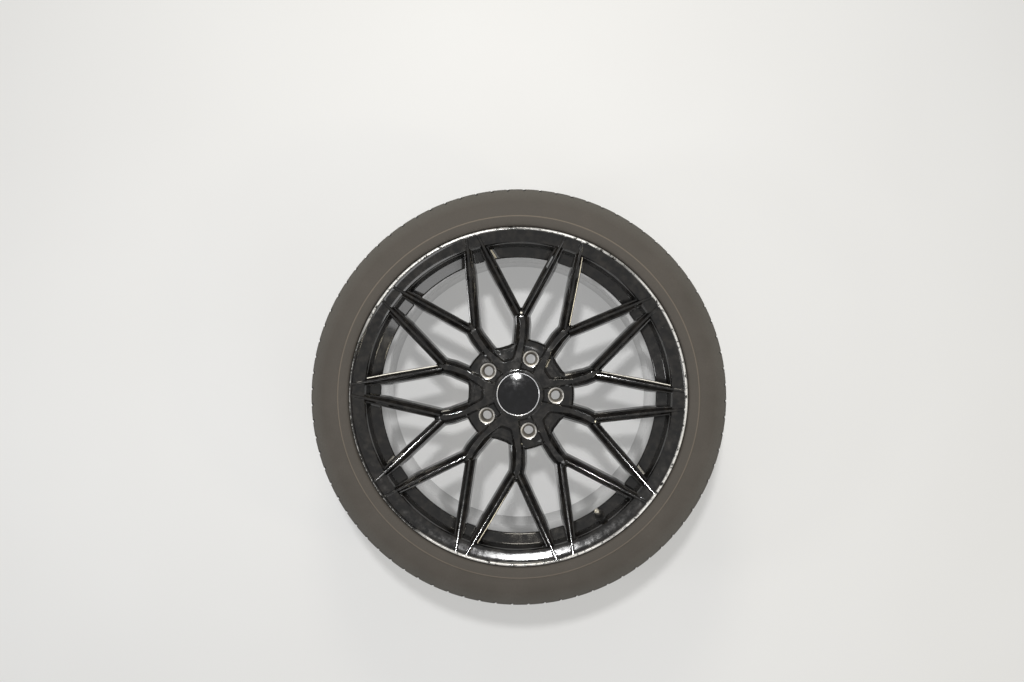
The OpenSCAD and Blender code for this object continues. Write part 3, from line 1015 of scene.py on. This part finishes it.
class WHEEL_OT_casting(bpy.types.Operator):
    """Model the cast wheel: rim, ten Y spokes and hub in one piece"""

    bl_idname = "wheel.casting"
    bl_label = "Wheel casting"

    def execute(self, context):
        sizes = context.scene.wheel_settings
        body = rim(sizes)
        combine(body, spokes(sizes))
        combine(body, hub(sizes))
        for cutter in hole_cutters():
            combine(body, cutter, "DIFFERENCE")
        paint = painted_aluminium(sizes.paint, sizes.bare_metal)
        ring = bare_aluminium("machined_seat_ring", "#cbc8c2", 0.42)
        # the cone and bore: the same dull bare metal, painted a darker grey than the ring for the shade
        # inside the bolt hole
        cone = bare_aluminium("dull_seat_cone_painted_shade", "#807b74", 0.75, 0.2)
        dress(body, paint, ring, cone)
        bare_seats(body, ring=1, cone=2)
        finished(body, ROOT, "paint", "wheel")
        return {"FINISHED"}


# The tyre


def tyre_profile(groove):
    """The tyre's closed section: heights start at its middle, grooves are as deep as given."""
    # beyond the flange's edge: bead, rim guard and the moulded line on the sidewall
    lower_wall = (
        (-8, 107.9),
        (-1.4, 108.5),
        (0.8, 111),
        (1, 117),
        (2.2, 120.2),
        (4, 121.8),
        (9, 123.3),
        (14, 123.9),
        (15.4, 124),
        (16.4, 123.9),
        (17.2, 123.2),
        (18.2, 122.7),
    )
    # below the tread's middle: upper sidewall and shoulder
    upper_wall = (
        (42, 122.6),
        (36, 122),
        (28, 120.6),
        (22, 119),
        (16, 116.4),
        (12, 114),
        (9.2, 112.4),
        (7, 110.6),
        (5.6, 108.6),
        (4.6, 106),
        (3.4, 97),
        (2.4, 87),
    )
    front = [(BEAD_R, 107.9)]
    front += [(FLANGE_R + out, z) for out, z in lower_wall]
    front += [(TYRE_R - under, z) for under, z in upper_wall]
    for z, drop in ((54, 0.8), (18, 0.2)):
        top = TYRE_R - drop - 0.4
        front += [(top, z + 4.5), (top - groove, z + 3.6), (top - groove, z - 3.6), (top + 0.1, z - 4.5)]
    inner = [
        (TYRE_R - 15, 10),
        (TYRE_R - 16, 54),
        (TYRE_R - 20, 95),
        (TYRE_R - 29, 108),
        (TYRE_R - 42, 115),
        (FLANGE_R + 8, 109),
        (FLANGE_R - 2, 99),
        (BEAD_R + 9, 92),
        (BEAD_R - 1.36, 91),
    ]
    rear = [(r, -z) for r, z in reversed(front)]
    rear_inner = [(r, -z) for r, z in reversed(inner)]
    return [(r, z + MID_Z) for r, z in front + rear + rear_inner + inner]


def shoulder_notches(count):
    """Slanting slots round both shoulders, half a step apart, as one body."""
    bpy.ops.mesh.primitive_cube_add(size=1)
    slot = bpy.context.object
    slot.data.transform(Matrix.Diagonal((12, 4.2, 26, 1)))
    slant = Matrix.Rotation(math.radians(30), 4, "Y") @ Matrix.Rotation(math.radians(18), 4, "X")
    slot.data.transform(Matrix.Translation((TYRE_R - 4, 0, 109)) @ slant)
    up = Matrix.Translation((0, 0, MID_Z))
    down = up @ Matrix.Scale(-1, 4, (0, 0, 1))
    step = 360 / count
    slots = [copied(slot, up @ turned(k * step)) for k in range(count)]
    slots += [copied(slot, down @ turned((k + 0.5) * step)) for k in range(count)]
    bpy.data.objects.remove(slot)
    select_only(slots[0])
    for other in slots:
        other.select_set(True)
    bpy.ops.object.join()
    return slots[0]


class WHEEL_OT_tyre(bpy.types.Operator):
    """Model the tyre with its sidewalls, worn grooves and shoulder notches"""

    bl_idname = "wheel.tyre"
    bl_label = "Tyre"

    def execute(self, context):
        sizes = context.scene.tyre_settings
        body = lathe("tyre_casing", tyre_profile(in_millimetres(sizes.groove_depth)), 288)
        combine(body, shoulder_notches(sizes.notches), "DIFFERENCE")
        dress(body, tyre_rubber(sizes.rubber, sizes.dust))
        finished(body, ROOT, "tyre", "tyre", angle=38)
        return {"FINISHED"}


# The centre cap

CAP_TOP_Z = SHELF_Z + 2.2
DISC_R = 32.7
DOME_H = 2.6


def cap_disc():
    """The blank disc, domed as part of a ball."""
    dome_r = (DISC_R**2 + DOME_H**2) / (2 * DOME_H)
    middle = CAP_TOP_Z + 0.6 + DOME_H - dome_r
    arc = [i / 16 * DISC_R for i in range(17)]
    dome = [(r, middle + math.sqrt(dome_r**2 - r * r)) for r in reversed(arc)]
    return lathe("cap_disc_gloss", [(0, CAP_TOP_Z), (DISC_R, CAP_TOP_Z), *dome], 128)


def cap_ring():
    """The thin ring round the disc, with a rounded top."""
    section = (
        (DISC_R, 0),
        (DISC_R + 1.6, 0),
        (DISC_R + 1.6, 0.7),
        (DISC_R + 1.3, 1.05),
        (DISC_R + 0.9, 1.3),
        (DISC_R + 0.5, 1.25),
        (DISC_R, 0.9),
    )
    return lathe("cap_ring_bright", [(r, CAP_TOP_Z + z) for r, z in section], 160)


class WHEEL_OT_centre_cap(bpy.types.Operator):
    """Model the centre cap: blank domed disc, thin bright ring and the moulded plate with its legs"""

    bl_idname = "wheel.centre_cap"
    bl_label = "Centre cap"

    def execute(self, context):
        plastic = moulded_cap_plastic()
        disc = cap_disc()
        dress(disc, plastic)
        finished(disc, ROOT, "cap_plastic", "cap_disc", angle=40)
        ring = cap_ring()
        dress(ring, silver_ring())
        finished(ring, ROOT, "chrome", "cap_trim_ring", angle=50)
        dress(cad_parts["centre_cap"], plastic)
        return {"FINISHED"}


# The valve: its heights run along its own axis, from the face of the well's wall


def valve_body():
    """The rubber plug: bulb inside the rim, groove that the wall sits in, and the sleeve of the stem."""
    profile = [
        (3, -14),
        (4.6, -13),
        (7.6, -7.6),
        (8.6, -5),
        (5.65, -5),
        (5.65, -1),
        (8, -1),
        (8, 1.0),
        (7.6, 1.6),
        (6.2, 3.2),
        (5.65, 4.6),
        (5.1, 18),
        (4.8, 19.6),
        (4.4, 20),
        (3, 20),
    ]
    return lathe("valve_body", profile, 64)


def valve_mouth():
    """The metal stem: a tube with seven thread crests at its mouth and the core's seat inside."""
    crest_r = 3.85
    root_r = 3.55
    thread = []
    for k in range(7):
        thread += [(crest_r, 20.9 + k), (root_r, 21.4 + k)]
    tube = [(1.2, -14), (3, -14), (3, 20), (crest_r, 20)]
    mouth = [(crest_r, 28.4), (3.25, 29), (2.65, 29), (2.65, 23), (2, 23), (2, 8), (1.2, 6.5)]
    return lathe("valve_mouth", tube + thread + mouth, 64)


# The coil in the valve's core: its wire's first and last height, its radius and the wire's own
SPRING_LOW = 15.13
SPRING_HIGH = 20.87
SPRING_R = 1.05
WIRE_R = 0.13
SPRING_TURNS = 4
WIRE_SIDES = 6


def valve_spring():
    """The coil that closes the core: a round wire wound up the valve's axis."""
    turns = [k * FULL_TURN / WIRE_SIDES for k in range(WIRE_SIDES)]
    wire = [(SPRING_R + WIRE_R * math.cos(a), 0, SPRING_LOW + WIRE_R * math.sin(a)) for a in turns]
    coil = outline("valve_spring", wire)
    rise = (SPRING_HIGH - SPRING_LOW) / SPRING_TURNS
    use_modifier(
        coil,
        "SCREW",
        angle=FULL_TURN,
        iterations=SPRING_TURNS,
        screw_offset=rise,
        steps=12,
        render_steps=12,
    )
    bpy.ops.object.mode_set(mode="EDIT")
    bpy.ops.mesh.select_all(action="SELECT")
    bpy.ops.mesh.fill_holes(sides=WIRE_SIDES)
    outward()
    bpy.ops.object.mode_set(mode="OBJECT")
    return coil


def press_spring(coil):
    """Gives the coil its own mesh."""
    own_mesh(coil)


class WHEEL_OT_valve(bpy.types.Operator):
    """Model the snap-in valve: rubber body, the bare metal mouth with its thread and the core's coil"""

    bl_idname = "wheel.valve"
    bl_label = "Valve"

    def execute(self, context):
        brass = plated_brass()
        steel = spring_steel()
        pieces = (
            (valve_body(), valve_moulding(), "valve_rubber", "valve_rubber", 40),
            (valve_mouth(), brass, "brass", "valve_stem", 40),
            (valve_spring(), steel, "spring_steel", "valve_core_spring", 50),
        )
        for piece, finish, slot, node, angle in pieces:
            piece.data.transform(VALVE_AXIS)
            dress(piece, finish)
            finished(piece, ROOT, slot, node, angle=angle)
        press_spring(pieces[-1][0])
        for node, finish in (("valve_core", brass), ("valve_core_pin", brass), ("cap_spring_ring", steel)):
            dress(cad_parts[node], finish)
        return {"FINISHED"}


# The stage

FLOOR_WIDTH = 8
ROOM_COLOUR = "#eeeeed"
ROOM_LIGHT = 0.38

# The photograph in pixels: its size and focal length, the point that the wheel's axis runs towards and
# the middle of the lip. Then the camera's roll in degrees and its height over the lip in metres.
PHOTO_SIZE = (1024, 682)
PHOTO_FOCAL = 745
PHOTO_AXIS = (523.5, 369)
PHOTO_MIDDLE = (517.9, 395.2)
CAMERA_ROLL = 1.8
CAMERA_HEIGHT = 1.138
SENSOR_MM = 36


def photo_ray(point):
    """The way to a point of the photograph, from its camera."""
    width, height = PHOTO_SIZE
    return Vector((point[0] - width / 2, height / 2 - point[1], -PHOTO_FOCAL))


def lay_floor(paint):
    """The floor that the wheel lies on."""
    bpy.ops.object.select_all(action="DESELECT")
    bpy.ops.mesh.primitive_plane_add(size=FLOOR_WIDTH, location=(0, 0, CAD_BOUNDS[0][2]))
    floor = bpy.context.object
    floor.name = "floor"
    floor.data.materials.append(painted_floor(paint))


def light_room(scene):
    """An even pale room."""
    scene.world = scene.world or bpy.data.worlds.new("studio")
    scene.world.use_nodes = True
    background = scene.world.node_tree.nodes["Background"]
    background.inputs["Color"].default_value = linear(ROOM_COLOUR)
    background.inputs["Strength"].default_value = ROOM_LIGHT


def hang_lamp(name, place, power, size, tint):
    """A round soft lamp that shines on the middle of the wheel."""
    bpy.ops.object.light_add(type="AREA", location=place)
    lamp = bpy.context.object
    lamp.name = name
    lamp.data.shape = "DISK"
    lamp.data.energy = power
    lamp.data.color = linear(tint)[:3]
    lamp.data.size = size
    lamp.rotation_euler = (-Vector(place)).to_track_quat("-Z", "Y").to_euler()


def place_camera(scene):
    """The photograph's lens and place, found from the rings at two depths."""
    bpy.ops.object.camera_add()
    camera = bpy.context.object
    camera.data.sensor_width = SENSOR_MM
    camera.data.lens = SENSOR_MM * PHOTO_FOCAL / PHOTO_SIZE[0]
    level = photo_ray(PHOTO_AXIS).rotation_difference(Vector((0, 0, -1))).to_matrix()
    turn = Matrix.Rotation(math.radians(CAMERA_ROLL), 3, "Z") @ level
    ray = turn @ photo_ray(PHOTO_MIDDLE)
    lip = Vector((0, 0, LIP_Z * MM))
    camera.matrix_world = Matrix.Translation(lip + ray * (CAMERA_HEIGHT / ray.z)) @ turn.to_4x4()
    scene.camera = camera


class WHEEL_OT_stage(bpy.types.Operator):
    """Lay the pale floor, set the soft lamps and place the camera"""

    bl_idname = "wheel.stage"
    bl_label = "Stage"

    def execute(self, context):
        stage = context.scene.stage_settings
        lay_floor(stage.floor)
        light_room(context.scene)
        hang_lamp("key", (-0.08, 0.50, 1.75), stage.key_power, 0.12, "#ffffff")
        hang_lamp("fill", (0.9, -1.0, 1.4), 4.0, 0.9, "#ffffff")
        hang_lamp("left", (-1.5, -0.3, 1.1), 4.0, 0.35, "#ffffff")
        hang_lamp("right", (1.48, -0.54, 1.23), 3.0, 0.25, "#fff3d6")
        hang_lamp("top", (-0.14, 1.57, 1.23), 9.0, 0.5, "#fff8e8")
        place_camera(context.scene)
        context.scene.view_settings.view_transform = "Standard"
        return {"FINISHED"}


# The panel


class WHEEL_PT_panel(bpy.types.Panel):
    """The wheel's pieces and settings"""

    bl_label = "Alloy wheel"
    bl_idname = "WHEEL_PT_panel"
    bl_space_type = "VIEW_3D"
    bl_region_type = "UI"
    bl_category = "Wheel"

    def draw(self, context):
        """Settings in one box for each group, and a button for each piece."""
        for group in SETTINGS:
            box = self.layout.box()
            settings = getattr(context.scene, group)
            for key in settings.bl_rna.properties.keys():
                if key not in ("rna_type", "name"):
                    box.prop(settings, key)
        for operator in OPERATORS:
            self.layout.operator(operator.bl_idname)


SETTINGS = {
    "wheel_settings": WheelSettings,
    "tyre_settings": TyreSettings,
    "stage_settings": StageSettings,
}
OPERATORS = (WHEEL_OT_casting, WHEEL_OT_tyre, WHEEL_OT_centre_cap, WHEEL_OT_valve, WHEEL_OT_stage)
CLASSES = (*SETTINGS.values(), *OPERATORS, WHEEL_PT_panel)


def register():
    """Adds the settings, operators and panel to Blender."""
    for cls in CLASSES:
        bpy.utils.register_class(cls)
    for name, group in SETTINGS.items():
        setattr(bpy.types.Scene, name, PointerProperty(type=group))


def unregister():
    """Takes them out again."""
    for name in SETTINGS:
        delattr(bpy.types.Scene, name)
    for cls in reversed(CLASSES):
        bpy.utils.unregister_class(cls)


def main():
    """Builds the wheel round its frame."""
    register()
    bpy.ops.wheel.casting()
    bpy.ops.wheel.tyre()
    bpy.ops.wheel.centre_cap()
    bpy.ops.wheel.valve()
    bpy.ops.wheel.stage()


if __name__ == "__main__":
    main()
